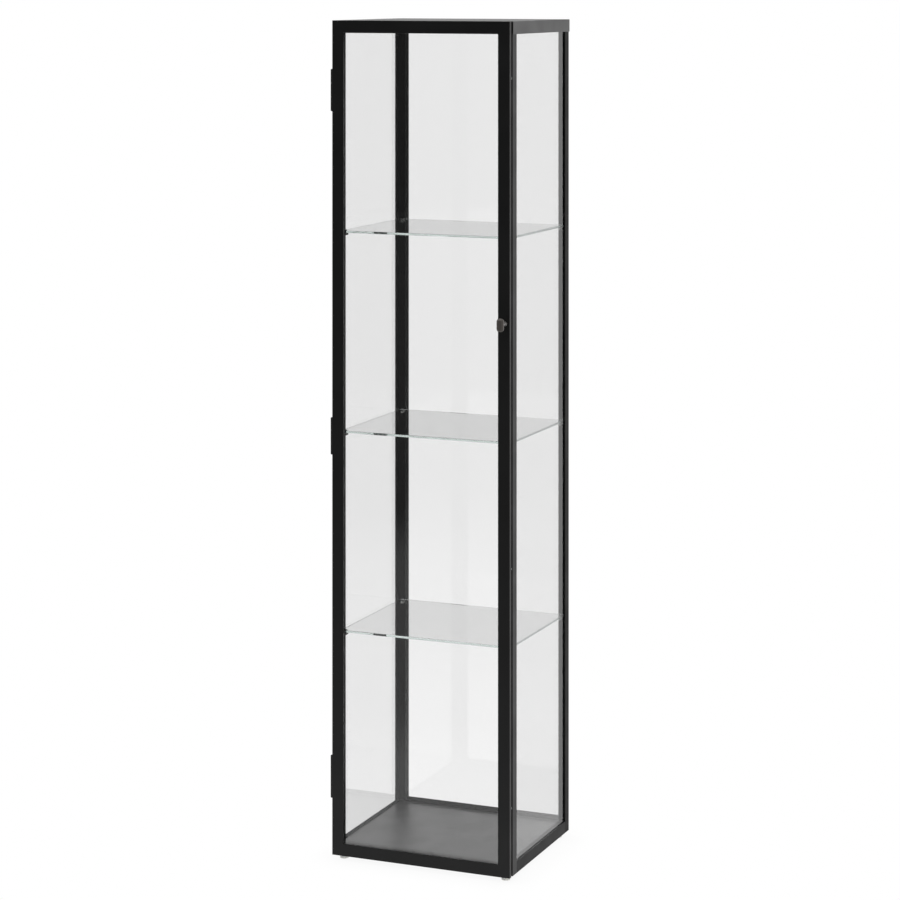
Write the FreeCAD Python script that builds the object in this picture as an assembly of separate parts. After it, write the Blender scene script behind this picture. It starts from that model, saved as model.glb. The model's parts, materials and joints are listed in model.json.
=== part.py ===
"""Tower display case: a tall glazed steel cabinet with a hinged glass door and glass shelves.

Each sub-part is a separate solid, or a group of identical solids, in its own STEP file. Millimetres.
The work frame starts at the door's lower left front corner: X to the right, Y to the back, and Z up
from the underside of the steel body. Every file is moved on export so that the finished frame has its
origin on the floor, at the centre of the whole footprint.
"""

import os

import FreeCAD
import Part

# Outer body
BODY_WIDTH = 344.0
BODY_DEPTH = 300.0
BODY_HEIGHT = 1505.0
STEEL = 1.2
BEND = 0.7
GAP = 0.1

# Carcass: four angle posts on a floor tray, under a cap
CARCASS_FRONT = 14.2
POST_FLANGE = 19.8
CAP_SKIRT = 22.8
SIDE_RAIL = 20.9
BACK_RAIL = 25.4
FLOOR_TOP = 17.0

# Glazing of the carcass
PANE = 4.0
PANE_RECESS = 2.5
PANE_BOTTOM = 17.5
PANE_TOP = 1490.0
SIDE_PANE_FRONT = 28.0
SIDE_PANE_BACK = 290.0
BACK_PANE_MARGIN = 15.5
RETAINING_LIP = 1.2

# Shelves and their supports
SHELF = 4.0
SHELF_TOPS = {"upper": 1124.3, "middle": 762.2, "lower": 401.3}
SHELF_SIDE_MARGIN = 7.0
SHELF_FRONT = 22.0
SHELF_BACK = 292.0
SHELF_CORNER = 3.0
SHELF_ARRIS = 0.3
PIN_X = 12.4
PIN_RADIUS = 2.5
PIN_TIP = 281.0
PIN_DOME = 2.2
SLEEVE_RADIUS = 3.2
CLIP_PLATE = (7.5, 15.5)
CLIP_JAWS = (9.5, 18.2)
CLIP_SCREW_X = 11.5
CLIP_JAW = 3.2
CLIP_FINGER = 1.8
CLIP_REACH = 33.0
PAD = 0.8

# Door frame, folded from sheet, with mitred corners
FRAME = 22.2
DOOR_DEPTH = 8.0
REVEAL = 5.2
LANDING = 8.8
DOOR_BEND = 0.5
TAPE = 0.8
DOOR_PANE_MARGIN = 11.5
RETAINER_MARGIN = 3.0
RETAINER_INNER = 18.8
BOSS_INSET = 6.5
BOSS_RADIUS = 3.0
RETAINER_SCREWS_UP = [40.0, 325.0, 610.0, 895.0, 1180.0, 1465.0]
RETAINER_SCREWS_ACROSS = [58.0, 172.0, 286.0]
SEAL_INSET = 9.6
SEAL_WIDTH = 3.0
SEAL = 1.6

# Hinges: the knuckles stand outside the left edge of the door
HINGES = {"upper": (1341.6, 1416.4), "middle": (721.5, 787.1), "lower": (101.5, 177.1)}
PIVOT_X = -3.0
PIVOT_Y = 7.0
KNUCKLE_RADIUS = 3.0
HINGE_PIN_RADIUS = 1.5
RUNNING_CLEARANCE = 0.05
KNUCKLE_GAP = 0.3
POST_LEAF_BACK = 31.0
HINGE_SCREW_Y = 22.0

# Knob
KNOB_X = 335.0
KNOB_Z = 973.6
KNOB_WIDTH = 12.4
KNOB_HEIGHT = 23.2
KNOB_FRONT = -26.3
KNOB_BACK = -18.9
KNOB_CORNER = 5.0
KNOB_STEM_RADIUS = 3.8
KNOB_WAIST_RADIUS = 3.4
KNOB_ROSE_RADIUS = 4.4
KNOB_BITE = 3.0

# Magnetic catch and door buffers, on the front right post
CATCH_X = 328.6
CATCH_POLE_RADIUS = 2.6
BUFFER_X = 340.0
BUFFER_HEIGHTS = [119.7, 540.9, 1404.4]
BUFFER_RADIUS = 3.0

# Levelling feet and the corner blocks that hold them
FOOT_HEIGHT = 9.0
FOOT_X = 15.0
FOOT_Y = 20.0
FOOT_RADIUS = 8.0
FOOT_PAD = 5.0
STEM_RADIUS = 3.0
STEM_TOP = 12.0
REAR_FOOT_Y = 280.0
BLOCK_WIDTH = 30.0
BASE_BLOCK_DEPTH = 40.0
TOP_BLOCK_DEPTH = 35.0
BLOCK_SCREW_LOW = 7.0
BLOCK_SCREW_HIGH = 1497.3

# Threaded inserts for a wall strap, in the back skirt of the cap
INSERT_SPACING = 200.0
INSERT_UP = 1497.3
INSERT_RADIUS = 3.5
INSERT_BORE = 2.1
INSERT_DEPTH = 6.0

# Screws
HEAD = 1.2
FRAME_SCREW = 2.0
FRAME_HEAD = 3.6
SMALL_SCREW = 1.5
SMALL_HEAD = 2.8

MIDDLE_X = BODY_WIDTH / 2
MIDDLE_Y = (CARCASS_FRONT + BODY_DEPTH) / 2
CENTRE_X = (PIVOT_X - KNUCKLE_RADIUS + BODY_WIDTH + STEEL) / 2
CENTRE_Y = (KNOB_FRONT + BODY_DEPTH + STEEL) / 2
GLASS_FRONT = REVEAL + TAPE
GLASS_REAR = GLASS_FRONT + PANE
DOOR_REAR = GLASS_REAR + STEEL
LEAF_FRONT = GLASS_REAR - STEEL

X_AXIS = FreeCAD.Vector(1, 0, 0)
Y_AXIS = FreeCAD.Vector(0, 1, 0)
Z_AXIS = FreeCAD.Vector(0, 0, 1)


# Basic shapes

def box(x0, x1, y0, y1, z0, z1):
    """A block between two values on each axis."""
    return Part.makeBox(x1 - x0, y1 - y0, z1 - z0, FreeCAD.Vector(x0, y0, z0))


def rod(x, y, z, axis, radius, length):
    """A cylinder that starts at a point and runs along an axis, which may be negative."""
    return Part.makeCylinder(radius, length, FreeCAD.Vector(x, y, z), axis)


def ring(outer, inner, y_or_x, low, high):
    """A flat rectangular frame; outer and inner are (left, right, bottom, top), across Y or across X."""
    a0, a1, z0, z1 = outer
    b0, b1, w0, w1 = inner
    if y_or_x == "Y":
        return box(a0, a1, low, high, z0, z1).cut(box(b0, b1, low - 1, high + 1, w0, w1))
    return box(low, high, a0, a1, z0, z1).cut(box(low - 1, high + 1, b0, b1, w0, w1))


def fillet_where(shape, radius, chosen):
    """Round the edges whose centre satisfies a test."""
    edges = [edge for edge in shape.Edges if chosen(edge.CenterOfMass, edge)]
    return shape.makeFillet(radius, edges)


def is_upright(edge):
    """True for a straight edge that runs along Z."""
    start, end = edge.Vertexes[0].Point, edge.Vertexes[-1].Point
    return abs(start.x - end.x) < 1e-6 and abs(start.y - end.y) < 1e-6


def mirror_x(shape):
    """The same piece on the other side of the case."""
    return shape.mirror(FreeCAD.Vector(MIDDLE_X, 0, 0), X_AXIS)


def mirror_y(shape):
    """The same piece at the other end of the carcass, front to back."""
    return shape.mirror(FreeCAD.Vector(0, MIDDLE_Y, 0), Y_AXIS)


def screw(x, y, z, axis, shank, head, length):
    """A low-headed cross-recess screw: the point is under the head, and the shank runs along the axis."""
    body = rod(0, 0, 0, Z_AXIS, shank, length)
    cap = rod(0, 0, -HEAD, Z_AXIS, head, HEAD)
    cap = fillet_where(cap, 0.4, lambda centre, edge: centre.z < -HEAD + 0.01)
    piece = body.fuse(cap)
    for turn in (0, 90):
        slot = box(-head * 0.55, head * 0.55, -0.35, 0.35, -HEAD - 1, -HEAD + 0.8)
        slot.rotate(FreeCAD.Vector(), Z_AXIS, turn)
        piece = piece.cut(slot)
    piece.Placement = FreeCAD.Placement(FreeCAD.Vector(x, y, z), FreeCAD.Rotation(Z_AXIS, axis))
    return piece


def save(node, *pieces):
    """Write one node, moved from the work frame to the finished frame."""
    shape = pieces[0] if len(pieces) == 1 else Part.makeCompound(list(pieces))
    shape = shape.copy()
    shape.translate(FreeCAD.Vector(-CENTRE_X, -CENTRE_Y, FOOT_HEIGHT))
    shape.exportStep("parts/" + node + ".step")


# Carcass

def post():
    """The front left post: a folded angle, from the underside to the cap's sheet."""
    top = BODY_HEIGHT - STEEL - GAP
    front = CARCASS_FRONT
    leg = box(0, POST_FLANGE, front, front + STEEL, 0, top)
    side = box(0, STEEL, front, front + POST_FLANGE, 0, top)
    angle = leg.fuse(side).removeSplitter()
    angle = fillet_where(angle, BEND, lambda c, e: is_upright(e) and c.x < 0.01 and c.y < front + 0.01)
    for height in (BLOCK_SCREW_LOW, BLOCK_SCREW_HIGH):
        angle = angle.cut(rod(6.0, front - 1, height, Y_AXIS, FRAME_SCREW + RUNNING_CLEARANCE, 4))
    return angle


def clip_screw_height(top):
    """The height of the screw that holds a front shelf clip."""
    return top - SHELF - 7.0


def pin_height(top):
    """The height of a rear shelf pin's axis: the sleeve just touches the glass."""
    return top - SHELF - SLEEVE_RADIUS


def front_post():
    """A front post with the holes of the shelf clips."""
    shape = post()
    for top in SHELF_TOPS.values():
        height = clip_screw_height(top)
        hole = rod(CLIP_SCREW_X, CARCASS_FRONT - 1, height, Y_AXIS, FRAME_SCREW + RUNNING_CLEARANCE, 4)
        shape = shape.cut(hole)
    return shape


def rear_post():
    """A rear post with the holes of the shelf pins."""
    shape = mirror_y(post())
    for top in SHELF_TOPS.values():
        hole = rod(PIN_X, BODY_DEPTH - 3, pin_height(top), Y_AXIS, SMALL_SCREW + RUNNING_CLEARANCE, 4)
        shape = shape.cut(hole)
    return shape


def hinge_screw_heights(low, high):
    """Three screws on each hinge leaf."""
    return [low + 8.0, (low + high) / 2, high - 8.0]


def make_posts():
    """The four posts; the left front one also takes the hinges, and the right front one the catch."""
    left = front_post()
    for low, high in HINGES.values():
        for height in hinge_screw_heights(low, high):
            left = left.cut(rod(-1, HINGE_SCREW_Y, height, X_AXIS, SMALL_SCREW + 0.02, 4))
    right = mirror_x(front_post())
    right = right.cut(rod(CATCH_X, CARCASS_FRONT - 1, KNOB_Z, Y_AXIS, CATCH_POLE_RADIUS + GAP, 4))
    for height in catch_screw_heights():
        right = right.cut(rod(CATCH_X, CARCASS_FRONT - 1, height, Y_AXIS, SMALL_SCREW + 0.02, 4))
    for height in BUFFER_HEIGHTS:
        right = right.cut(rod(BUFFER_X, CARCASS_FRONT - 1, height, Y_AXIS, 1.2 + GAP / 2, 4))
    save("post_front_left", left)
    save("post_front_right", right)
    save("post_rear_left", rear_post())
    save("post_rear_right", mirror_x(rear_post()))


def make_base_tray():
    """The floor sheet, on which the panes stand, and four outer walls between the posts."""
    low_x, high_x = POST_FLANGE + GAP, BODY_WIDTH - POST_FLANGE - GAP
    low_y = CARCASS_FRONT + POST_FLANGE + GAP
    high_y = BODY_DEPTH - POST_FLANGE - GAP
    floor_low = FLOOR_TOP - STEEL
    inner = STEEL + GAP
    tray = box(inner, BODY_WIDTH - inner, CARCASS_FRONT + inner, BODY_DEPTH - inner, floor_low, FLOOR_TOP)
    left_wall = box(0, STEEL, low_y, high_y, 0, SIDE_RAIL)
    left_tab = box(0, inner + 1, low_y, high_y, floor_low, FLOOR_TOP)
    front_wall = box(low_x, high_x, CARCASS_FRONT, CARCASS_FRONT + STEEL, 0, FLOOR_TOP)
    front_tab = box(low_x, high_x, CARCASS_FRONT, CARCASS_FRONT + inner + 1, floor_low, FLOOR_TOP)
    back_wall = box(low_x, high_x, BODY_DEPTH - STEEL, BODY_DEPTH, 0, BACK_RAIL)
    back_tab = box(low_x, high_x, BODY_DEPTH - inner - 1, BODY_DEPTH, floor_low, FLOOR_TOP)
    extras = [front_wall, front_tab, back_wall, back_tab]
    for piece in (left_wall, left_tab):
        extras.append(piece)
        extras.append(mirror_x(piece))
    save("base_tray", tray.multiFuse(extras).removeSplitter())


def make_top_panel():
    """The cap: a sheet with skirts outside the posts, a front flange between them, and lips for the panes."""
    top = BODY_HEIGHT
    low = top - CAP_SKIRT
    left, right, back = -STEEL, BODY_WIDTH + STEEL, BODY_DEPTH + STEEL
    shell = box(left, right, CARCASS_FRONT, back, low, top)

    def on_outer_bend(centre, edge):
        on_side = centre.x < left + 0.01 or centre.x > right - 0.01
        on_back = centre.y > back - 0.01
        on_top = centre.z > top - 0.01
        return (on_top and (on_side or on_back)) or (on_side and on_back)

    shell = fillet_where(shell, BEND, on_outer_bend)
    shell = shell.cut(box(0, BODY_WIDTH, CARCASS_FRONT - 1, BODY_DEPTH, low - 1, top - STEEL))
    inner = POST_FLANGE + GAP
    flange = box(inner, BODY_WIDTH - inner, CARCASS_FRONT, CARCASS_FRONT + STEEL, low, top - STEEL / 2)
    lip_x = PANE_RECESS + PANE + GAP
    lip_y = BODY_DEPTH - PANE_RECESS - PANE - GAP
    lip_low, lip_high = low + 1, top - STEEL / 2
    lip_front, lip_back = TOP_BLOCK_DEPTH + 2, BODY_DEPTH - TOP_BLOCK_DEPTH
    side_lip = box(lip_x, lip_x + RETAINING_LIP, lip_front, lip_back, lip_low, lip_high)
    lip_left, lip_right = BLOCK_WIDTH + 2, BODY_WIDTH - BLOCK_WIDTH - 2
    back_lip = box(lip_left, lip_right, lip_y - RETAINING_LIP, lip_y, lip_low, lip_high)
    cap = shell.multiFuse([flange, side_lip, mirror_x(side_lip), back_lip]).removeSplitter()
    for x in insert_places():
        cap = cap.cut(rod(x, BODY_DEPTH - 1, INSERT_UP, Y_AXIS, INSERT_RADIUS + GAP / 2, 4))
    for x in cap_screw_places():
        cap = cap.cut(rod(x, CARCASS_FRONT - 1, BLOCK_SCREW_HIGH, Y_AXIS, FRAME_SCREW + RUNNING_CLEARANCE, 4))
    rear_hole = rod(6.0, BODY_DEPTH - 1, BLOCK_SCREW_HIGH, Y_AXIS, FRAME_HEAD + GAP, 4)
    cap = cap.cut(rear_hole).cut(mirror_x(rear_hole))
    save("top_panel", cap)


# Corner blocks, screws and inserts of the carcass

def cap_screw_places():
    """The two screws through the cap's front flange."""
    return [25.5, BODY_WIDTH - 25.5]


def insert_places():
    """The two wall-strap inserts, left and right of the middle."""
    return [MIDDLE_X - INSERT_SPACING / 2, MIDDLE_X + INSERT_SPACING / 2]


def corner_block(depth, low, high, screw_height):
    """A moulded block in the front left corner, with a pilot hole for the screw through the post."""
    edge = STEEL + GAP
    front = CARCASS_FRONT + edge
    block = box(edge, BLOCK_WIDTH, front, depth, low, high)
    block = fillet_where(block, 3.0, lambda c, e: is_upright(e) and c.x > 20 and c.y > 20)
    return block.cut(rod(6.0, front - 1, screw_height, Y_AXIS, FRAME_SCREW, 14))


def make_corner_blocks():
    """Blocks under the floor carry the feet; blocks under the cap's sheet carry the cap."""
    base = corner_block(BASE_BLOCK_DEPTH, 0.5, FLOOR_TOP - STEEL - GAP, BLOCK_SCREW_LOW)
    front_base = base.cut(rod(FOOT_X, FOOT_Y, 0, Z_AXIS, STEM_RADIUS + RUNNING_CLEARANCE, 20))
    rear_base = mirror_y(base).cut(rod(FOOT_X, REAR_FOOT_Y, 0, Z_AXIS, STEM_RADIUS + RUNNING_CLEARANCE, 20))
    save("base_corner_blocks", front_base, mirror_x(front_base), rear_base, mirror_x(rear_base))
    top_face = BODY_HEIGHT - STEEL - GAP
    top = corner_block(TOP_BLOCK_DEPTH, PANE_TOP + 1, top_face, BLOCK_SCREW_HIGH)
    rear_top = mirror_y(top)
    front_top = top.cut(rod(cap_screw_places()[0], CARCASS_FRONT, BLOCK_SCREW_HIGH, Y_AXIS, FRAME_SCREW, 12))
    save("top_corner_blocks", front_top, mirror_x(front_top), rear_top, mirror_x(rear_top))


def make_frame_screws():
    """Screws through the posts' front and back flanges into the blocks, and through the cap's flange."""
    screws = []
    for height in (BLOCK_SCREW_LOW, BLOCK_SCREW_HIGH):
        front = screw(6.0, CARCASS_FRONT, height, Y_AXIS, FRAME_SCREW - 0.02, FRAME_HEAD, 13)
        screws += [front, mirror_x(front), mirror_y(front), mirror_x(mirror_y(front))]
    for x in cap_screw_places():
        screws.append(screw(x, CARCASS_FRONT, BLOCK_SCREW_HIGH, Y_AXIS, FRAME_SCREW - 0.02, FRAME_HEAD, 10))
    save("frame_screws", *screws)


def make_wall_inserts():
    """Threaded inserts pressed in the cap's back skirt from inside, open through their length."""
    inserts = []
    for x in insert_places():
        body = rod(x, BODY_DEPTH - INSERT_DEPTH, INSERT_UP, Y_AXIS, INSERT_RADIUS, INSERT_DEPTH + STEEL)
        collar = rod(x, BODY_DEPTH - 0.8, INSERT_UP, Y_AXIS, INSERT_RADIUS + 1.2, 0.8)
        bore = rod(x, BODY_DEPTH - INSERT_DEPTH - 1, INSERT_UP, Y_AXIS, INSERT_BORE, INSERT_DEPTH + 4)
        inserts.append(body.fuse(collar).cut(bore))
    save("wall_strap_inserts", *inserts)


# Glazing of the carcass

def make_glazing():
    """Three fixed panes, each with a black rubber seal between the glass and the frame's flanges."""
    inset = PANE_RECESS
    left = box(inset, inset + PANE, SIDE_PANE_FRONT, SIDE_PANE_BACK, PANE_BOTTOM, PANE_TOP)
    save("glass_left", left)
    save("glass_right", mirror_x(left))
    low_y = CARCASS_FRONT + POST_FLANGE
    high_y = BODY_DEPTH - POST_FLANGE
    top = BODY_HEIGHT - CAP_SKIRT
    seal = ring(
        (SIDE_PANE_FRONT, SIDE_PANE_BACK, PANE_BOTTOM, PANE_TOP),
        (low_y, high_y, SIDE_RAIL, top), "X", STEEL + GAP / 2, inset,
    )
    save("glazing_seal_left", seal)
    save("glazing_seal_right", mirror_x(seal))
    margin = BACK_PANE_MARGIN
    face = BODY_DEPTH - PANE_RECESS
    back = box(margin, BODY_WIDTH - margin, face - PANE, face, PANE_BOTTOM, PANE_TOP)
    save("glass_back", back)
    back_seal = ring(
        (margin, BODY_WIDTH - margin, PANE_BOTTOM, PANE_TOP),
        (POST_FLANGE, BODY_WIDTH - POST_FLANGE, BACK_RAIL, top), "Y", face, BODY_DEPTH - STEEL - GAP / 2,
    )
    save("glazing_seal_back", back_seal)


# Shelves

def make_shelves():
    """Three glass shelves with rounded corners and finely arrised edges."""
    left, right = SHELF_SIDE_MARGIN, BODY_WIDTH - SHELF_SIDE_MARGIN
    for name, top in SHELF_TOPS.items():
        glass = box(left, right, SHELF_FRONT, SHELF_BACK, top - SHELF, top)
        glass = fillet_where(glass, SHELF_CORNER, lambda c, e: is_upright(e))
        rims = [edge for edge in glass.Edges if not is_upright(edge)]
        save("shelf_" + name, glass.makeChamfer(SHELF_ARRIS, rims))


def shelf_clip(top):
    """A front left clip: a plate on the post, and a block with a jaw under the glass and a finger over it."""
    face = CARCASS_FRONT + STEEL
    back = SHELF_FRONT - 0.4
    under = top - SHELF - PAD
    high = top + CLIP_FINGER
    plate = box(*CLIP_PLATE, face, back, under - 11.0, high)
    block = box(*CLIP_JAWS, face, back, under - CLIP_JAW, high)
    jaw = box(*CLIP_JAWS, face, CLIP_REACH, under - CLIP_JAW, under)
    finger = box(*CLIP_JAWS, face, SHELF_FRONT + 5.0, top + 0.3, high)

    def at_tip(centre, edge):
        return is_upright(edge) and centre.y > SHELF_FRONT + 1

    jaw = fillet_where(jaw, 3.5, at_tip)
    finger = fillet_where(finger, 3.0, at_tip)
    clip = plate.multiFuse([block, jaw, finger]).removeSplitter()
    return clip.cut(rod(CLIP_SCREW_X, face - 1, clip_screw_height(top), Y_AXIS, FRAME_SCREW, 6.4))


def make_shelf_supports():
    """Black clips in front, metal pins with clear sleeves behind, and the screws that hold them."""
    clips, pads, pins, sleeves, clip_screws, pin_screws = [], [], [], [], [], []
    for top in SHELF_TOPS.values():
        clip = shelf_clip(top)
        pad_left, pad_right = CLIP_JAWS[0] + 1, CLIP_JAWS[1] - 1
        pad = box(pad_left, pad_right, SHELF_FRONT + 1, CLIP_REACH - 1.5, top - SHELF - PAD, top - SHELF)
        pad = fillet_where(pad, 2.0, lambda c, e: is_upright(e))
        height = pin_height(top)
        length = BODY_DEPTH - STEEL - PIN_TIP
        pin = rod(PIN_X, PIN_TIP, height, Y_AXIS, PIN_RADIUS, length)
        pin = fillet_where(pin, PIN_DOME, lambda c, e: c.y < PIN_TIP + 0.01)
        pin = pin.cut(rod(PIN_X, BODY_DEPTH - STEEL - 6.1, height, Y_AXIS, SMALL_SCREW, 8))
        sleeve = rod(PIN_X, PIN_TIP + 3.0, height, Y_AXIS, SLEEVE_RADIUS, 7.0)
        sleeve = sleeve.cut(rod(PIN_X, PIN_TIP, height, Y_AXIS, PIN_RADIUS, 12))
        clip_height = clip_screw_height(top)
        clip_fix = screw(CLIP_SCREW_X, CARCASS_FRONT, clip_height, Y_AXIS, FRAME_SCREW - 0.02, FRAME_HEAD, 6)
        away = FreeCAD.Vector(0, -1, 0)
        pin_fix = screw(PIN_X, BODY_DEPTH, height, away, SMALL_SCREW - 0.02, SMALL_HEAD, 7)
        groups = (clips, pads, pins, sleeves, clip_screws, pin_screws)
        for group, piece in zip(groups, (clip, pad, pin, sleeve, clip_fix, pin_fix)):
            group.append(piece)
            group.append(mirror_x(piece))
    save("shelf_clips_front", *clips)
    save("shelf_clip_pads", *pads)
    save("shelf_pins_rear", *pins)
    save("shelf_pin_sleeves", *sleeves)
    save("shelf_clip_screws", *clip_screws)
    save("shelf_pin_screws", *pin_screws)


# Door

def frame_bar(length):
    """A folded channel along +Z; X runs from the door's outer edge inwards and Y is the depth."""
    corners = [
        (0, 0), (FRAME, 0), (FRAME, REVEAL), (FRAME - LANDING, REVEAL),
        (FRAME - LANDING, REVEAL - STEEL), (FRAME - STEEL, REVEAL - STEEL),
        (FRAME - STEEL, STEEL), (STEEL, STEEL), (STEEL, DOOR_DEPTH), (0, DOOR_DEPTH),
    ]
    points = [FreeCAD.Vector(x, y, 0) for x, y in corners]
    section = Part.Face(Part.makePolygon(points + points[:1]))
    bar = section.extrude(FreeCAD.Vector(0, 0, length))
    return fillet_where(bar, DOOR_BEND, lambda c, e: is_upright(e) and c.y < 0.01)


def mitred(length):
    """The channel with both ends cut at 45 degrees, so that four of them close the frame."""
    outline = [(0, 0), (FRAME, FRAME), (FRAME, length - FRAME), (0, length)]
    points = [FreeCAD.Vector(x, -1, z) for x, z in outline]
    prism = Part.Face(Part.makePolygon(points + points[:1])).extrude(FreeCAD.Vector(0, 30, 0))
    return frame_bar(length).common(prism)


def boss(x, z, rear):
    """A welded threaded boss behind the frame's front sheet."""
    tube = rod(x, STEEL / 2, z, Y_AXIS, BOSS_RADIUS, rear - STEEL / 2)
    return tube.cut(rod(x, rear - 6.0, z, Y_AXIS, SMALL_SCREW, 10))


def stile(with_hinges):
    """The left upright of the door frame, with its bosses."""
    bar = mitred(BODY_HEIGHT)
    bosses = [boss(BOSS_INSET, z, GLASS_REAR) for z in RETAINER_SCREWS_UP]
    if with_hinges:
        for low, high in HINGES.values():
            bosses += [boss(BOSS_INSET, z, LEAF_FRONT) for z in hinge_screw_heights(low, high)]
    return bar.multiFuse(bosses)


def bottom_rail():
    """The lower cross bar of the door frame, with its bosses."""
    bar = mitred(BODY_WIDTH)
    bar.rotate(FreeCAD.Vector(), Y_AXIS, 90)
    bar = bar.mirror(FreeCAD.Vector(), Z_AXIS)
    bosses = [boss(x, BOSS_INSET, GLASS_REAR) for x in RETAINER_SCREWS_ACROSS]
    return bar.multiFuse(bosses)


def flip_up(shape):
    """The same piece at the other end of the door's height."""
    return shape.mirror(FreeCAD.Vector(0, 0, BODY_HEIGHT / 2), Z_AXIS)


def make_door_frame():
    """Two stiles and two rails, each with its threaded bosses, mitred together."""
    knob_hole = rod(KNOB_X, -1, KNOB_Z, Y_AXIS, SMALL_SCREW + GAP, 4)
    save("door_stile_hinge_side", stile(True))
    save("door_stile_knob_side", mirror_x(stile(False)).cut(knob_hole))
    save("door_rail_bottom", bottom_rail())
    save("door_rail_top", flip_up(bottom_rail()))


def rectangle(inset):
    """The door's outline, moved in on all four sides."""
    return (inset, BODY_WIDTH - inset, inset, BODY_HEIGHT - inset)


def make_door_glazing():
    """The pane on its glazing tape, the sheet that holds it, that sheet's screws, and the dust seal."""
    margin = DOOR_PANE_MARGIN
    pane = box(margin, BODY_WIDTH - margin, GLASS_FRONT, GLASS_REAR, margin, BODY_HEIGHT - margin)
    save("door_glass", pane)
    tape = ring(rectangle(FRAME - LANDING), rectangle(FRAME - 0.4), "Y", REVEAL, GLASS_FRONT)
    save("door_glazing_tape", tape)
    retainer = ring(rectangle(RETAINER_MARGIN), rectangle(RETAINER_INNER), "Y", GLASS_REAR, DOOR_REAR)
    places = []
    for z in RETAINER_SCREWS_UP:
        places += [(BOSS_INSET, z), (BODY_WIDTH - BOSS_INSET, z)]
    for x in RETAINER_SCREWS_ACROSS:
        places += [(x, BOSS_INSET), (x, BODY_HEIGHT - BOSS_INSET)]
    leaf_places = []
    for low, high in HINGES.values():
        leaf_places += [(BOSS_INSET, z) for z in hinge_screw_heights(low, high)]
    for x, z in places + leaf_places:
        retainer = retainer.cut(rod(x, GLASS_REAR - 1, z, Y_AXIS, SMALL_SCREW + GAP, 4))
    save("door_glass_retainer", retainer)
    forward = FreeCAD.Vector(0, -1, 0)
    save("door_retainer_screws", *[
        screw(x, DOOR_REAR, z, forward, SMALL_SCREW - 0.02, SMALL_HEAD, 6) for x, z in places
    ])
    save("hinge_screws_door", *[
        screw(x, DOOR_REAR, z, forward, SMALL_SCREW - 0.02, SMALL_HEAD, 7) for x, z in leaf_places
    ])
    seal = ring(rectangle(SEAL_INSET), rectangle(SEAL_INSET + SEAL_WIDTH), "Y", DOOR_REAR, DOOR_REAR + SEAL)
    save("door_dust_seal", seal)


# Hinges

def knuckle_spans(low, high):
    """The lower, middle and upper thirds of a hinge, with a small gap between them."""
    third = (high - low) / 3
    half = KNUCKLE_GAP / 2
    return [
        (low, low + third - half),
        (low + third + half, high - third - half),
        (high - third + half, high),
    ]


def knuckle(low, high):
    """One barrel of a hinge."""
    barrel = rod(PIVOT_X, PIVOT_Y, low, Z_AXIS, KNUCKLE_RADIUS, high - low)
    return fillet_where(barrel, 0.4, lambda c, e: abs(c.z - low) < 0.01 or abs(c.z - high) < 0.01)


def post_leaf(low, high):
    """The fixed leaf: flat on the post's outer side, with the outer two barrels."""
    lower, middle, upper = knuckle_spans(low, high)
    leaf = box(-STEEL, 0, PIVOT_Y + KNUCKLE_RADIUS + 0.4, POST_LEAF_BACK, low, high)
    leaf = fillet_where(leaf, 3.0, lambda c, e: abs(c.y - POST_LEAF_BACK) < 0.01 and not is_upright(e))
    necks = [box(-STEEL, 0, PIVOT_Y, PIVOT_Y + KNUCKLE_RADIUS + 1, a, b) for a, b in (lower, upper)]
    shape = leaf.multiFuse(necks + [knuckle(*lower), knuckle(*upper)])
    bore = rod(PIVOT_X, PIVOT_Y, low - 1, Z_AXIS, HINGE_PIN_RADIUS + RUNNING_CLEARANCE, high - low + 2)
    shape = shape.cut(bore)
    for height in hinge_screw_heights(low, high):
        shape = shape.cut(rod(-STEEL - 1, HINGE_SCREW_Y, height, X_AXIS, SMALL_SCREW + 0.02, 4))
    return shape.removeSplitter()


def door_leaf(low, high):
    """The moving leaf: behind the stile, under the retainer, with the middle barrel."""
    middle = knuckle_spans(low, high)[1]
    plate = box(1.5, DOOR_PANE_MARGIN - 0.3, LEAF_FRONT, GLASS_REAR, low, high)
    neck = box(PIVOT_X, 2.0, LEAF_FRONT, GLASS_REAR, *middle)
    shape = plate.multiFuse([neck, knuckle(*middle)])
    shape = shape.cut(rod(PIVOT_X, PIVOT_Y, low, Z_AXIS, HINGE_PIN_RADIUS + RUNNING_CLEARANCE, high - low))
    for height in hinge_screw_heights(low, high):
        shape = shape.cut(rod(BOSS_INSET, LEAF_FRONT - 1, height, Y_AXIS, SMALL_SCREW + GAP, 4))
    return shape.removeSplitter()


def hinge_pin(low, high):
    """A pin with a domed head above and below the barrels."""
    pin = rod(PIVOT_X, PIVOT_Y, low - 0.7, Z_AXIS, HINGE_PIN_RADIUS, high - low + 1.4)
    lower = rod(PIVOT_X, PIVOT_Y, low - 0.8, Z_AXIS, 2.3, 0.7)
    upper = rod(PIVOT_X, PIVOT_Y, high + 0.1, Z_AXIS, 2.3, 0.7)
    lower = fillet_where(lower, 0.5, lambda c, e: c.z < low - 0.79)
    upper = fillet_where(upper, 0.5, lambda c, e: c.z > high + 0.79)
    return pin.fuse(lower).fuse(upper)


def make_hinges():
    """Three hinges, each with a fixed leaf, a moving leaf and a pin, and the screws of the fixed leaves."""
    pins, screws = [], []
    for name, (low, high) in HINGES.items():
        save("hinge_leaf_post_" + name, post_leaf(low, high))
        save("hinge_leaf_door_" + name, door_leaf(low, high))
        pins.append(hinge_pin(low, high))
        for z in hinge_screw_heights(low, high):
            screws.append(screw(-STEEL, HINGE_SCREW_Y, z, X_AXIS, SMALL_SCREW, SMALL_HEAD, 5))
    save("hinge_pins", *pins)
    save("hinge_screws_post", *screws)


# Knob, catch and buffers

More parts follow.
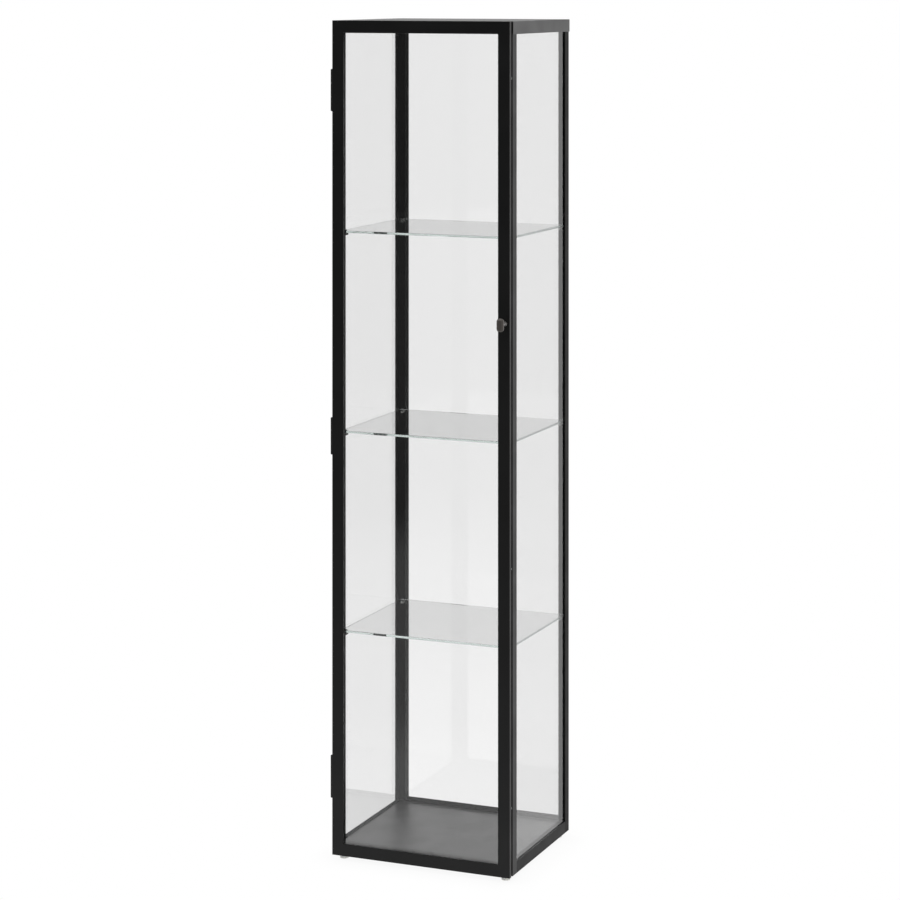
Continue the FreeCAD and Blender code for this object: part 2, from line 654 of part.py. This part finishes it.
def make_knob():
    """An oblong head on a waisted stem with a small rose, held by a screw from inside the stile."""
    low_x, high_x = KNOB_X - KNOB_WIDTH / 2, KNOB_X + KNOB_WIDTH / 2
    low_z, high_z = KNOB_Z - KNOB_HEIGHT / 2, KNOB_Z + KNOB_HEIGHT / 2
    head = box(low_x, high_x, KNOB_FRONT, KNOB_BACK, low_z, high_z)
    head = fillet_where(head, KNOB_CORNER, lambda c, e: abs(c.y - (KNOB_FRONT + KNOB_BACK) / 2) < 0.01)
    rim = [edge for edge in head.Edges if abs(edge.CenterOfMass.y - KNOB_FRONT) < 0.01]
    head = head.makeChamfer(2.4, rim)
    back_rim = [edge for edge in head.Edges if abs(edge.CenterOfMass.y - KNOB_BACK) < 0.01]
    head = head.makeFillet(0.8, back_rim)
    inside = KNOB_BACK - KNOB_BITE
    socket = rod(KNOB_X, inside, KNOB_Z, Y_AXIS, KNOB_STEM_RADIUS, KNOB_BITE + 1)
    save("knob_head", head.cut(socket))
    neck = KNOB_STEM_RADIUS - 0.02
    outline = [
        (0, inside), (neck, inside), (neck, KNOB_BACK + 1), (KNOB_WAIST_RADIUS, KNOB_BACK + 4),
        (KNOB_WAIST_RADIUS, -5.0), (KNOB_ROSE_RADIUS, -1.5), (KNOB_ROSE_RADIUS, 0), (0, 0),
    ]
    points = [FreeCAD.Vector(KNOB_X + radius, y, KNOB_Z) for radius, y in outline]
    face = Part.Face(Part.makePolygon(points + points[:1]))
    stem = face.revolve(FreeCAD.Vector(KNOB_X, 0, KNOB_Z), Y_AXIS, 360)
    stem = stem.cut(rod(KNOB_X, -8.1, KNOB_Z, Y_AXIS, SMALL_SCREW, 10))
    save("knob_stem", stem)
    forward = FreeCAD.Vector(0, -1, 0)
    save("knob_screw", screw(KNOB_X, STEEL, KNOB_Z, forward, SMALL_SCREW - 0.02, SMALL_HEAD, 9))


def catch_screw_heights():
    """The catch's two screws, above and below the magnet."""
    return [KNOB_Z - 9.0, KNOB_Z + 9.0]


def make_catch():
    """A magnet in a moulded housing behind the post's flange, and a steel striker on the door."""
    face = CARCASS_FRONT + STEEL
    pole_front = 12.4
    housing = box(CATCH_X - 3.5, CATCH_X + 6.5, face, face + 10.0, KNOB_Z - 13.0, KNOB_Z + 13.0)
    housing = fillet_where(housing, 1.5, lambda c, e: c.y > face + 9.9)
    housing = housing.cut(rod(CATCH_X, face - 1, KNOB_Z, Y_AXIS, CATCH_POLE_RADIUS + 0.02, 7))
    screws = []
    for height in catch_screw_heights():
        housing = housing.cut(rod(CATCH_X, face - 1, height, Y_AXIS, SMALL_SCREW, 8))
        screws.append(screw(CATCH_X, CARCASS_FRONT, height, Y_AXIS, SMALL_SCREW - 0.02, SMALL_HEAD, 8))
    save("catch_housing", housing)
    magnet = rod(CATCH_X, pole_front, KNOB_Z, Y_AXIS, CATCH_POLE_RADIUS, face + 6 - pole_front)
    magnet = fillet_where(magnet, 0.3, lambda c, e: c.y < pole_front + 0.01)
    save("catch_magnet", magnet)
    save("catch_screws", *screws)
    striker = box(CATCH_X - 3.8, CATCH_X + 2.4, DOOR_REAR, DOOR_REAR + 0.8, KNOB_Z - 12.0, KNOB_Z + 12.0)
    striker = fillet_where(striker, 1.5, lambda c, e: abs(c.y - DOOR_REAR - 0.4) < 0.01)
    save("catch_striker", striker)


def make_buffers():
    """Three clear buffers, each with a stud pushed in a hole of the post's front flange."""
    buffers = []
    for height in BUFFER_HEIGHTS:
        dome = rod(BUFFER_X, DOOR_REAR + 0.3, height, Y_AXIS, BUFFER_RADIUS, CARCASS_FRONT - DOOR_REAR - 0.3)
        dome = fillet_where(dome, 0.9, lambda c, e: c.y < DOOR_REAR + 0.31)
        buffers.append(dome.fuse(rod(BUFFER_X, CARCASS_FRONT - 0.5, height, Y_AXIS, 1.2, 4)))
    save("door_buffers", *buffers)


# Feet

def foot_pad():
    """The front left plastic pad, with a six-sided grip, around the lower end of its stem."""
    pad = rod(FOOT_X, FOOT_Y, -FOOT_HEIGHT, Z_AXIS, FOOT_RADIUS, FOOT_PAD)
    pad = fillet_where(pad, 1.0, lambda c, e: True)
    points = []
    for turn in range(6):
        corner = FreeCAD.Rotation(Z_AXIS, 60 * turn).multVec(FreeCAD.Vector(5.6, 0, 0))
        points.append(corner + FreeCAD.Vector(FOOT_X, FOOT_Y, -FOOT_HEIGHT + FOOT_PAD - 0.5))
    grip = Part.Face(Part.makePolygon(points + points[:1])).extrude(FreeCAD.Vector(0, 0, 3.0))
    socket = rod(FOOT_X, FOOT_Y, -FOOT_HEIGHT + 2.0, Z_AXIS, STEM_RADIUS, 20)
    return pad.fuse(grip).cut(socket)


def foot_stem():
    """The stem of a foot: a threaded rod, shown by its plain outer diameter."""
    low = -FOOT_HEIGHT + 2.0
    stem = rod(FOOT_X, FOOT_Y, low, Z_AXIS, STEM_RADIUS, STEM_TOP - low)
    return fillet_where(stem, 0.6, lambda c, e: c.z > STEM_TOP - 0.01)


def make_feet():
    """A pad and a stem at each corner."""
    backwards = FreeCAD.Vector(0, REAR_FOOT_Y - FOOT_Y, 0)
    for row, shift in (("front", FreeCAD.Vector()), ("rear", backwards)):
        pad = foot_pad().translated(shift)
        stem = foot_stem().translated(shift)
        save("foot_pad_" + row + "_left", pad)
        save("foot_stem_" + row + "_left", stem)
        save("foot_pad_" + row + "_right", mirror_x(pad))
        save("foot_stem_" + row + "_right", mirror_x(stem))


def main():
    """Write every node."""
    os.makedirs("parts", exist_ok=True)
    make_posts()
    make_base_tray()
    make_top_panel()
    make_corner_blocks()
    make_frame_screws()
    make_wall_inserts()
    make_glazing()
    make_shelves()
    make_shelf_supports()
    make_door_frame()
    make_door_glazing()
    make_hinges()
    make_knob()
    make_catch()
    make_buffers()
    make_feet()


main()
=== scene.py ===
"""Looks of the tower display case: finishes, floor, light and camera. Metres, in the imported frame."""

import json
import math

import bpy
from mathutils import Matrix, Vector


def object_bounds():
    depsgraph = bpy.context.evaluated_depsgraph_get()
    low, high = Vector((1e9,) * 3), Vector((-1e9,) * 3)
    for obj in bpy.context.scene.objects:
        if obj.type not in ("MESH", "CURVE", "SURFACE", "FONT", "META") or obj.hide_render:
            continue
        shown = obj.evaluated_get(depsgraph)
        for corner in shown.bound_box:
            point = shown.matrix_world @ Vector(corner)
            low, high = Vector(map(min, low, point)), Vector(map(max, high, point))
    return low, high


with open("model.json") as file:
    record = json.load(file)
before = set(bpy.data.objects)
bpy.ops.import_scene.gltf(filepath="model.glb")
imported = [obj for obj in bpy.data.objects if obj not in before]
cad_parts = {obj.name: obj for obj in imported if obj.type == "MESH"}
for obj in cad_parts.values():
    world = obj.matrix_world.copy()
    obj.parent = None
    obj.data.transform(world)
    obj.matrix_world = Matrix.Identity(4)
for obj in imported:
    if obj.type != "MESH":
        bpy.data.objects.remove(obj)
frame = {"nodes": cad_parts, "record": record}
cad_low, cad_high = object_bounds()

# Camera: level, with the lens shifted down so that upright edges stay parallel.
# Its turn to the left is in degrees, its place in metres, its lens and sensor in millimetres.
CAMERA_TURN = 22.74
CAMERA_PLACE = (1.9312, -4.5998, 1.5838)
LENS = 109.26
SENSOR = 36.0
SHIFT_DOWN = 0.5204
SHIFT_TOLERANCE = 0.001

# Room: brightness that reflections see, by direction (1 is paper white)
BACKDROP = 1.0
ROOM_FRONT = 0.12
ROOM_BACK = 0.95
ROOM_RIGHT = 1.0
ROOM_LEFT_LOW = 0.72
ROOM_LEFT_HIGH = 0.35
ROOM_LEFT_TOP = 1.8
CEILING = 0.9

# Where one part of the room gives way to the next, as parts of a unit direction
FRONT_TO_BACK = (-0.4, 0.6)
MIDDLE_TO_RIGHT = (0.05, 0.3)
MIDDLE_TO_LEFT = (-0.05, -0.3)
CORNER_DEPTH = (0.3, 0.8)
LOW_TO_HIGH = (0.05, 0.24)
HIGH_TO_TOP = (0.24, 0.37)
WALL_TO_CEILING = (0.25, 0.9)

# Floor: it glows, and the brightness that reflections see is a painted pool of light; the distances in
# metres where it changes.
# The last three are its painted contact shadow: the darkest, where it ends, and how far it reaches in
# metres.
FLOOR_RADIUS = 14.0
FLOOR_BEHIND = 0.94
FLOOR_NEAR = 0.85
FLOOR_MIDDLE = 0.45
FLOOR_FAR = 0.15
BEFORE_TO_BEHIND = (-0.16, 0.1)
NEAR_TO_MIDDLE = (0.6, 1.2)
MIDDLE_TO_FAR = (2.4, 3.2)
DEEP_SHADOW = 0.92
OPEN_FLOOR = 0.985
SHADOW_REACH = 0.06

# Lamps: place and size in metres, and power in watts
OVERHEAD = ((-0.6, -0.4, 3.4), (2.4, 2.4), 28.0)
FILL = ((3.6, 0.6, 1.8), (1.6, 2.2), 14.0)

# Finishes
COAT_DARK = 0.008
COAT_LIGHT = 0.011
COAT_ROUGHNESS = 0.42
COAT_SHINE = 0.26
# Shine of single parts, lit and shaded copies of the coat: painted shade on the tray's rails and the
# rear posts, painted sheen on the tray's floor and the cap.
RAIL_PAINTED_SHADE = 0.08
FLOOR_PAINTED_SHEEN = 1.0
CAP_PAINTED_SHEEN = 0.85
REAR_PAINTED_SHADE = 0.075
RUBBER_SHINE = 0.2
GLASS_IOR = 1.52
# A glass tint that is made darker or lighter by side: painted shade that sets how bright each window
# looks.
LEFT_TINT = 0.935
RIGHT_TINT = 0.91
FRONT_TINT = 0.983
MILLIMETRE = 0.001


# Node trees

class Graph:
    """A node tree that is built with short calls, which give back a node or a socket of it."""

    def __init__(self, tree):
        self.tree = tree
        tree.nodes.clear()

    def add(self, kind, inputs=None, **settings):
        """A node of one kind, with its settings and its input values or links."""
        made = self.tree.nodes.new("ShaderNode" + kind)
        for name, value in settings.items():
            setattr(made, name, value)
        for name, value in (inputs or {}).items():
            if isinstance(value, bpy.types.NodeSocket):
                self.tree.links.new(value, made.inputs[name])
            else:
                made.inputs[name].default_value = value
        return made

    def math(self, operation, a, b=0.0, clamp=False):
        """The result of one sum on numbers."""
        return self.add("Math", {0: a, 1: b}, operation=operation, use_clamp=clamp).outputs[0]

    def spread(self, value, low, high, to_low=0.0, to_high=1.0, smooth=True):
        """A value moved from one range to another, clamped."""
        kind = "SMOOTHSTEP" if smooth else "LINEAR"
        ports = {
            "Value": value, "From Min": low, "From Max": high, "To Min": to_low, "To Max": to_high,
        }
        return self.add("MapRange", ports, interpolation_type=kind).outputs["Result"]

    def blend(self, share, a, b):
        """A number between a and b."""
        ports = {"Factor": share, "A": a, "B": b}
        return self.add("Mix", ports, data_type="FLOAT").outputs[0]

    def tint(self, share, a, b):
        """A colour between a and b."""
        made = self.add("Mix", data_type="RGBA")
        for index, value in ((0, share), (6, a), (7, b)):
            if isinstance(value, bpy.types.NodeSocket):
                self.tree.links.new(value, made.inputs[index])
            else:
                made.inputs[index].default_value = value
        return made.outputs[2]

    def noise(self, place, scale, detail=2.0, rough=0.5):
        """Soft noise between 0 and 1; scale counts the lumps in a metre."""
        ports = {"Vector": place, "Scale": scale, "Detail": detail, "Roughness": rough}
        return self.add("TexNoise", ports).outputs["Fac"]

    def place(self):
        """The point on the object, in metres in the row frame at rest."""
        return self.add("TexCoord").outputs["Object"]

    def bump(self, height, depth, normal=None):
        """A normal raised by a height map; depth in metres."""
        ports = {"Height": height, "Strength": 1.0, "Distance": depth}
        if normal is not None:
            ports["Normal"] = normal
        return self.add("Bump", ports).outputs["Normal"]

    def end(self, surface, volume=None):
        """Connects the result."""
        output = self.add("OutputMaterial", {"Surface": surface})
        if volume is not None:
            self.tree.links.new(volume, output.inputs["Volume"])


def new_material(name):
    """An empty material and its graph."""
    material = bpy.data.materials.new(name)
    material.use_nodes = True
    return material, Graph(material.node_tree)


def grey(value):
    """An opaque grey."""
    return (value, value, value, 1.0)


def facing(graph, axis):
    """1 on faces square to an axis, and 0 on the others."""
    normal = graph.add("VectorTransform", {
        "Vector": graph.add("NewGeometry").outputs["True Normal"],
    }, vector_type="NORMAL", convert_from="WORLD", convert_to="OBJECT")
    parts = graph.add("SeparateXYZ", {"Vector": normal.outputs[0]})
    return graph.math("GREATER_THAN", graph.math("ABSOLUTE", parts.outputs[axis]), 0.5)


def edge_share(graph, radius):
    """0 on flat faces and up to 1 on sharp outer edges."""
    plain_normal = graph.add("NewGeometry").outputs["Normal"]
    round_normal = graph.add("Bevel", {"Radius": radius}, samples=6).outputs["Normal"]
    meet = graph.add("VectorMath", {0: plain_normal, 1: round_normal}, operation="DOT_PRODUCT")
    return graph.spread(meet.outputs["Value"], 0.995, 0.85)


# Metals and coatings

def powder_coat(name, dark, light, roughness, shine, painted_top_sheen=None):
    """Satin powder coat: orange peel, slow changes of gloss, and edges painted lighter as a highlight
    and made a little glossier.
    """
    material, graph = new_material(name)
    place = graph.place()
    edges = edge_share(graph, 0.7 * MILLIMETRE)
    cloud = graph.noise(place, 7.0, 3.0)
    speckle = graph.noise(place, 2600.0, 1.0)
    shade = graph.tint(graph.spread(cloud, 0.3, 0.7), dark, light)
    # Painted sheen: faces that look up get a different specular level from the sides.
    if painted_top_sheen is not None:
        shine = graph.blend(facing(graph, 2), shine, painted_top_sheen)
    # Painted edge highlight: the colour is made lighter towards grey 0.03 on sharp edges.
    shade = graph.tint(graph.math("MULTIPLY", edges, 0.2), shade, grey(0.03))
    peel = graph.noise(place, 420.0, 2.0, 0.6)
    grain = graph.noise(place, 1700.0, 1.0)
    normal = graph.bump(grain, 0.0015 * MILLIMETRE, graph.bump(peel, 0.003 * MILLIMETRE))
    patches = graph.noise(place, 22.0, 3.0)
    gloss = graph.spread(patches, 0.3, 0.7, roughness - 0.03, roughness + 0.04)
    gloss = graph.math("SUBTRACT", gloss, graph.math("MULTIPLY", edges, 0.08))
    gloss = graph.math("ADD", gloss, graph.spread(speckle, 0.62, 0.8, 0.0, 0.05))
    coat = graph.add("BsdfPrincipled", {
        "Base Color": shade, "Roughness": gloss, "Normal": normal, "Specular IOR Level": shine,
    })
    graph.end(coat.outputs[0])
    return material


def bare_metal(name, colour, roughness, scratch_scale, smudge):
    """Plated or turned metal with fine scratches and dull patches."""
    material, graph = new_material(name)
    place = graph.place()
    stretched = graph.add("Mapping", {"Vector": place, "Scale": scratch_scale}).outputs[0]
    scratches = graph.noise(stretched, 1.0, 3.0, 0.7)
    patches = graph.spread(graph.noise(place, 260.0, 3.0), 0.35, 0.7)
    shade = graph.tint(graph.math("MULTIPLY", patches, smudge), colour, grey(colour[0] * 0.55))
    gloss = graph.blend(patches, roughness, roughness + 0.16)
    gloss = graph.math("ADD", gloss, graph.spread(scratches, 0.4, 0.7, -0.04, 0.08))
    normal = graph.bump(scratches, 0.008 * MILLIMETRE)
    metal = graph.add("BsdfPrincipled", {
        "Base Color": shade, "Metallic": 1.0, "Roughness": gloss, "Normal": normal,
    })
    graph.end(metal.outputs[0])
    return material


def satin_paint(name, colour, worn, roughness):
    """Satin lacquer on a small cast piece, thinner on its edges."""
    material, graph = new_material(name)
    place = graph.place()
    edges = edge_share(graph, 0.5 * MILLIMETRE)
    mottle = graph.spread(graph.noise(place, 900.0, 3.0), 0.3, 0.7)
    shade = graph.tint(graph.math("MULTIPLY", mottle, 0.35), colour, worn)
    shade = graph.tint(graph.math("MULTIPLY", edges, 0.5), shade, worn)
    normal = graph.bump(graph.noise(place, 1500.0, 2.0), 0.008 * MILLIMETRE)
    paint = graph.add("BsdfPrincipled", {
        "Base Color": shade, "Metallic": 0.15, "Roughness": roughness, "Normal": normal,
        "Specular IOR Level": 0.35,
    })
    graph.end(paint.outputs[0])
    return material


# Plastics and rubber

def moulded(name, colour, roughness, grain_scale, depth, soft=0.0, shine=0.5):
    """Moulded plastic or rubber with a fine surface grain; soft lets some light through."""
    material, graph = new_material(name)
    place = graph.place()
    grain = graph.noise(place, grain_scale, 2.0, 0.65)
    cloud = graph.spread(graph.noise(place, 60.0, 3.0), 0.3, 0.7)
    lighter = tuple(min(1.0, channel * 1.25 + 0.004) for channel in colour[:3]) + (1.0,)
    shade = graph.tint(graph.math("MULTIPLY", cloud, 0.6), colour, lighter)
    gloss = graph.spread(grain, 0.3, 0.7, roughness - 0.05, roughness + 0.06)
    ports = {
        "Base Color": shade, "Roughness": gloss, "Normal": graph.bump(grain, depth),
        "Subsurface Weight": soft, "Subsurface Radius": (1.0, 0.95, 0.85),
        "Subsurface Scale": 2 * MILLIMETRE, "Specular IOR Level": shine,
    }
    graph.end(graph.add("BsdfPrincipled", ports).outputs[0])
    return material


def clear_plastic(name):
    """Soft clear plastic: frosted, with a faint grain."""
    material, graph = new_material(name)
    place = graph.place()
    grain = graph.noise(place, 1800.0, 2.0)
    plastic = graph.add("BsdfPrincipled", {
        "Base Color": (0.9, 0.92, 0.91, 1.0), "Transmission Weight": 0.85, "IOR": 1.46,
        "Roughness": graph.spread(grain, 0.3, 0.7, 0.16, 0.3),
        "Normal": graph.bump(grain, 0.01 * MILLIMETRE),
    })
    graph.end(plastic.outputs[0])
    return material


# Glass

def pane_glass(name, axis, tint):
    """A clear pane: it reflects and lets light straight through, and its cut edges are dark."""
    material, graph = new_material(name)
    place = graph.place()
    behind = graph.add("NewGeometry").outputs["Backfacing"]
    ior = graph.blend(behind, GLASS_IOR, 1 / GLASS_IOR)
    wave = graph.noise(place, 2.2, 1.0)
    normal = graph.bump(wave, 0.02 * MILLIMETRE)
    film = graph.noise(place, 14.0, 4.0, 0.6)
    share = graph.add("Fresnel", {"IOR": ior}).outputs[0]
    clear = graph.add("BsdfTransparent", {"Color": grey(tint)}).outputs[0]
    gloss = graph.spread(film, 0.45, 0.75, 0.0, 0.012)
    mirror = graph.add("BsdfGlossy", {
        "Color": grey(1.0), "Roughness": gloss, "Normal": normal,
    }).outputs[0]
    face = graph.add("MixShader", {0: share, 1: clear, 2: mirror}).outputs[0]
    ground = graph.noise(place, 900.0, 2.0)
    rim = graph.add("BsdfPrincipled", {
        "Base Color": graph.tint(ground, (0.004, 0.006, 0.005, 1.0), (0.009, 0.012, 0.011, 1.0)),
        "Roughness": 0.6, "Specular IOR Level": 0.1,
    }).outputs[0]
    graph.end(graph.add("MixShader", {0: facing(graph, axis), 1: rim, 2: face}).outputs[0])
    return material


def shelf_glass(name):
    """Solid glass that bends light, green through its length, with finely ground edges."""
    material, graph = new_material(name)
    place = graph.place()
    flat = facing(graph, 2)
    grind = graph.add("Mapping", {"Vector": place, "Scale": (900.0, 900.0, 90.0)}).outputs[0]
    marks = graph.noise(grind, 1.0, 2.0)
    wave = graph.bump(graph.noise(place, 3.0, 1.0), 0.01 * MILLIMETRE)
    ground = graph.bump(marks, 0.0002 * MILLIMETRE)
    normal = graph.add("Mix", data_type="VECTOR")
    graph.tree.links.new(flat, normal.inputs[0])
    graph.tree.links.new(ground, normal.inputs[4])
    graph.tree.links.new(wave, normal.inputs[5])
    rough = graph.blend(flat, graph.spread(marks, 0.3, 0.7, 0.0, 0.02), 0.0)
    solid = graph.add("BsdfGlass", {
        "Color": grey(1.0), "Roughness": rough, "IOR": GLASS_IOR, "Normal": normal.outputs[1],
    }).outputs[0]
    passing = graph.add("BsdfTransparent", {"Color": (0.93, 0.96, 0.95, 1.0)}).outputs[0]
    path = graph.add("LightPath").outputs["Is Shadow Ray"]
    green = graph.add("VolumeAbsorption", {
        "Color": (0.5, 0.63, 0.59, 1.0), "Density": 2.6,
    }).outputs[0]
    graph.end(graph.add("MixShader", {0: path, 1: solid, 2: passing}).outputs[0], green)
    return material


# Finishes by material slot

def make_finishes():
    """One material for each slot of the record, except the panes'."""
    return {
        "black_coat": powder_coat(
            "black_coat", grey(COAT_DARK), grey(COAT_LIGHT), COAT_ROUGHNESS, COAT_SHINE),
        "black_steel": powder_coat("black_steel", grey(0.014), grey(0.02), 0.34, 0.4),
        "zinc_steel": bare_metal(
            "zinc_steel", (0.62, 0.62, 0.6, 1.0), 0.24, (900.0, 120.0, 900.0), 0.5),
        "magnet_plating": bare_metal(
            "magnet_plating", (0.75, 0.75, 0.74, 1.0), 0.12, (500.0, 500.0, 90.0), 0.3),
        "knob_stem_metal": bare_metal(
            "knob_stem_metal", (0.5, 0.49, 0.48, 1.0), 0.4, (60.0, 4000.0, 60.0), 0.4),
        "knob_bronze": satin_paint(
            "knob_bronze", (0.1, 0.088, 0.08, 1.0), (0.12, 0.11, 0.102, 1.0), 0.46),
        "shelf_glass": shelf_glass("shelf_glass"),
        "black_rubber": moulded(
            "black_rubber", grey(0.003), 0.75, 1500.0, 0.02 * MILLIMETRE, shine=RUBBER_SHINE),
        "black_plastic": moulded("black_plastic", grey(0.012), 0.5, 1900.0, 0.015 * MILLIMETRE),
        "white_plastic": moulded(
            "white_plastic", (0.78, 0.78, 0.75, 1.0), 0.42, 1300.0, 0.01 * MILLIMETRE, soft=0.4),
        "clear_plastic": clear_plastic("clear_plastic"),
    }


def special_finishes():
    """Finishes of single nodes: panes by the way they face, with tints that differ by side as painted
    shade, and lit and shaded copies of the black coat: painted sheen on the cap and on the tray's
    floor, painted shade on the tray's rails and the rear posts.
    """
    dark, light = grey(COAT_DARK), grey(COAT_LIGHT)
    # The cap's coat shines more: painted sheen.
    cap = powder_coat("black_coat_cap_painted_sheen", dark, light, COAT_ROUGHNESS, CAP_PAINTED_SHEEN)
    # The tray's rails shine less and its floor shines more: painted shade and painted sheen.
    tray = powder_coat("black_coat_tray_painted_light", dark, light, COAT_ROUGHNESS, RAIL_PAINTED_SHADE, FLOOR_PAINTED_SHEEN)
    # The rear posts' coat is darker and duller: painted shade.
    dull = powder_coat("black_coat_rear_painted_shade", grey(0.006), grey(0.009), 0.48, REAR_PAINTED_SHADE)
    # Front and back panes share one tint, and the sides get their own: painted shade.
    front = pane_glass("pane_glass_front", 1, FRONT_TINT)
    return {
        "glass_left": pane_glass("pane_glass_left", 0, LEFT_TINT),
        "glass_right": pane_glass("pane_glass_right", 0, RIGHT_TINT),
        "glass_back": front,
        "door_glass": front,
        "top_panel": cap,
        "base_tray": tray,
        "post_rear_left": dull,
        "post_rear_right": dull,
    }


def dress_nodes():
    """Gives each CAD node the finish of its slot, or its own."""
    finishes = make_finishes()
    special = special_finishes()
    for part in frame["record"]["subparts"]:
        name = part["node"]
        finish = special[name] if name in special else finishes[part["material_slot"]]
        for holder in frame["nodes"][name].material_slots:
            holder.material = finish


# Studio

def sees_backdrop(graph):
    """1 for what the camera sees, also through solid glass, and 0 for reflections and soft light."""
    path = graph.add("LightPath")
    return graph.math("MAXIMUM", path.outputs["Is Camera Ray"], path.outputs["Is Transmission Ray"])


def make_world():
    """A white backdrop to the eye; reflections see a dark room in front and bright walls behind."""
    world = bpy.data.worlds.new("studio")
    bpy.context.scene.world = world
    world.use_nodes = True
    graph = Graph(world.node_tree)
    direction = graph.add("SeparateXYZ", {"Vector": graph.add("TexCoord").outputs["Generated"]})
    across, along, up = direction.outputs
    deep = graph.spread(along, *CORNER_DEPTH)
    right = graph.math("MULTIPLY", graph.spread(across, *MIDDLE_TO_RIGHT), deep)
    left = graph.math("MULTIPLY", graph.spread(across, *MIDDLE_TO_LEFT), deep)
    left_level = graph.spread(up, *LOW_TO_HIGH, ROOM_LEFT_LOW, ROOM_LEFT_HIGH)
    left_level = graph.blend(graph.spread(up, *HIGH_TO_TOP), left_level, ROOM_LEFT_TOP)
    level = graph.blend(graph.spread(along, *FRONT_TO_BACK), ROOM_FRONT, ROOM_BACK)
    level = graph.blend(right, level, ROOM_RIGHT)
    level = graph.blend(left, level, left_level)
    level = graph.blend(graph.spread(up, *WALL_TO_CEILING), level, CEILING)
    strength = graph.blend(sees_backdrop(graph), level, BACKDROP)
    light = graph.add("Background", {"Color": grey(1.0), "Strength": strength})
    graph.add("OutputWorld", {"Surface": light.outputs[0]})


def floor_material():
    """Glowing paper: white to the eye with a faint painted contact shadow from ambient occlusion;
    reflections see a painted pool of light on it, bright near the case and dark far in front.
    """
    material, graph = new_material("floor_paper")
    place = graph.add("NewGeometry").outputs["Position"]
    along = graph.add("SeparateXYZ", {"Vector": place}).outputs["Y"]
    ahead = graph.math("MULTIPLY", along, -1.0)
    # Painted pool of light that reflections see: bright near the case, fading far in front, and bright
    # behind it.
    painted_light_pool = graph.spread(ahead, *NEAR_TO_MIDDLE, FLOOR_NEAR, FLOOR_MIDDLE)
    painted_light_pool = graph.blend(graph.spread(ahead, *MIDDLE_TO_FAR), painted_light_pool, FLOOR_FAR)
    level = graph.blend(graph.spread(along, *BEFORE_TO_BEHIND), painted_light_pool, FLOOR_BEHIND)
    # Painted contact shadow: ambient occlusion dims the floor's glow near the case; paper holds it,
    # less a faint fibre grain.
    open_share = graph.add("AmbientOcclusion", {"Distance": SHADOW_REACH}, samples=16).outputs["AO"]
    fibre = graph.noise(place, 220.0, 4.0)
    paper = graph.math("SUBTRACT", open_share, graph.math("MULTIPLY", fibre, 0.01))
    seen_with_painted_shadow = graph.spread(paper, 0.0, OPEN_FLOOR, DEEP_SHADOW, BACKDROP, smooth=False)
    strength = graph.blend(sees_backdrop(graph), level, seen_with_painted_shadow)
    graph.end(graph.add("Emission", {"Color": grey(1.0), "Strength": strength}).outputs[0])
    return material


def make_floor():
    """A large flat disc under the feet."""
    bpy.ops.mesh.primitive_circle_add(vertices=96, radius=FLOOR_RADIUS, fill_type="NGON")
    floor = bpy.context.object
    floor.name = "floor"
    floor.data.materials.append(floor_material())


def add_light(name, place, size, power):
    """A soft flat lamp aimed at the middle of the case, which the camera doesn't see."""
    data = bpy.data.lights.new(name, "AREA")
    data.shape = "RECTANGLE"
    data.size, data.size_y = size
    data.energy = power
    lamp = bpy.data.objects.new(name, data)
    bpy.context.scene.collection.objects.link(lamp)
    lamp.location = place
    aim = Vector((0.0, 0.0, (cad_low.z + cad_high.z) / 2)) - Vector(place)
    lamp.rotation_mode = "QUATERNION"
    lamp.rotation_quaternion = aim.to_track_quat("-Z", "Y")
    lamp.visible_camera = False
    return lamp


def make_lights():
    """Two large soft boxes: one above, and one at the right that glass and steel don't mirror."""
    add_light("overhead", *OVERHEAD)
    fill = add_light("fill", *FILL)
    fill.visible_glossy = False


def make_camera():
    """The level camera; its shift applies only at its own place, so other views stay centred."""
    data = bpy.data.cameras.new("camera")
    camera = bpy.data.objects.new("camera", data)
    bpy.context.scene.collection.objects.link(camera)
    camera.location = CAMERA_PLACE
    camera.rotation_euler = (math.radians(90.0), 0.0, math.radians(CAMERA_TURN))
    data.lens = LENS
    data.sensor_width = SENSOR
    data.clip_start = 0.1
    data.clip_end = 100.0
    driver = data.driver_add("shift_y").driver
    driver.type = "SCRIPTED"
    for name, channel in (("across", "LOC_X"), ("along", "LOC_Y")):
        variable = driver.variables.new()
        variable.name = name
        variable.type = "TRANSFORMS"
        variable.targets[0].id = camera
        variable.targets[0].transform_type = channel
    away = f"abs(across - {CAMERA_PLACE[0]}) + abs(along + {-CAMERA_PLACE[1]})"
    driver.expression = f"-{SHIFT_DOWN} if {away} < {SHIFT_TOLERANCE} else 0"
    bpy.context.scene.camera = camera


def set_colours():
    """Plain display colours, and enough bounces for light inside the shelves."""
    scene = bpy.context.scene
    scene.view_settings.view_transform = "Standard"
    scene.view_settings.look = "None"
    scene.cycles.max_bounces = 40
    scene.cycles.glossy_bounces = 24
    scene.cycles.transmission_bounces = 32
    scene.cycles.transparent_max_bounces = 64


dress_nodes()
make_world()
make_floor()
make_lights()
make_camera()
set_colours()
